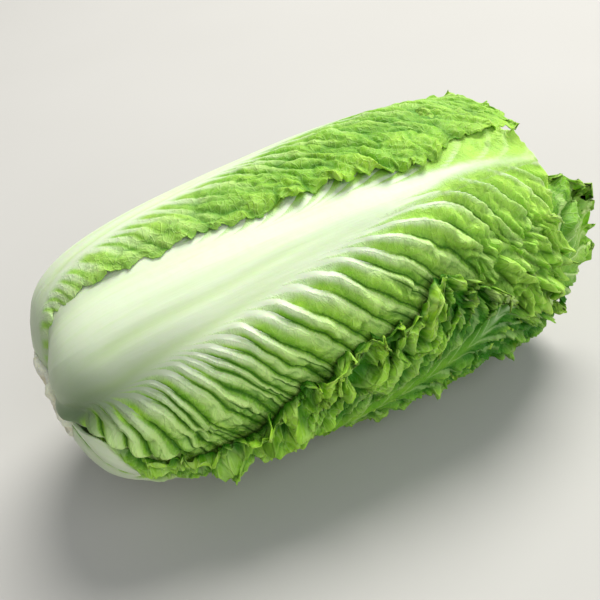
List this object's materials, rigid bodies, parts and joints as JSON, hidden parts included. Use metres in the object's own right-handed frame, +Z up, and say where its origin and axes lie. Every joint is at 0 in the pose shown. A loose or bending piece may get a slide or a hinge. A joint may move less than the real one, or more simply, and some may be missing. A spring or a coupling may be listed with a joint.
{
  "type": "napa cabbage",
  "caption": "Barrel-shaped head of napa cabbage lying on its side, crinkled green leaves with broad white midribs wrapped round a cut stem; food to cook, stack or display.",
  "frame": {"origin": "on the surface the head lies on, under the middle of the head", "axes": "+X along the head from the cut stem to the leaf tips, +Z up, -Y towards the side where the outer leaves overlap and the broad white midrib of the top leaf shows"},
  "size_m": [0.2968, 0.1554, 0.1511],
  "materials": {
    "stem": "satin",
    "outer_leaf": "satin",
    "second_leaf": "satin",
    "inner_leaf": "satin",
    "heart_leaf": "satin"
  },
  "bodies": {
    "root": {"stem_core": "stem", "outer_leaf_underside": "outer_leaf", "outer_leaf_back": "outer_leaf", "outer_leaf_front": "outer_leaf", "outer_leaf_top": "outer_leaf", "second_leaf_1": "second_leaf", "second_leaf_2": "second_leaf", "second_leaf_3": "second_leaf", "second_leaf_4": "second_leaf", "inner_leaf_1": "inner_leaf", "inner_leaf_2": "inner_leaf", "inner_leaf_3": "inner_leaf", "inner_leaf_4": "inner_leaf", "inner_leaf_5": "inner_leaf", "inner_leaf_6": "inner_leaf", "heart_leaf_1": "heart_leaf", "heart_leaf_2": "heart_leaf", "heart_leaf_3": "heart_leaf", "heart_leaf_4": "heart_leaf", "heart_leaf_5": "heart_leaf", "heart_leaf_6": "heart_leaf", "heart_leaf_7": "heart_leaf", "heart_leaf_8": "heart_leaf"}
  },
  "joints": []
}
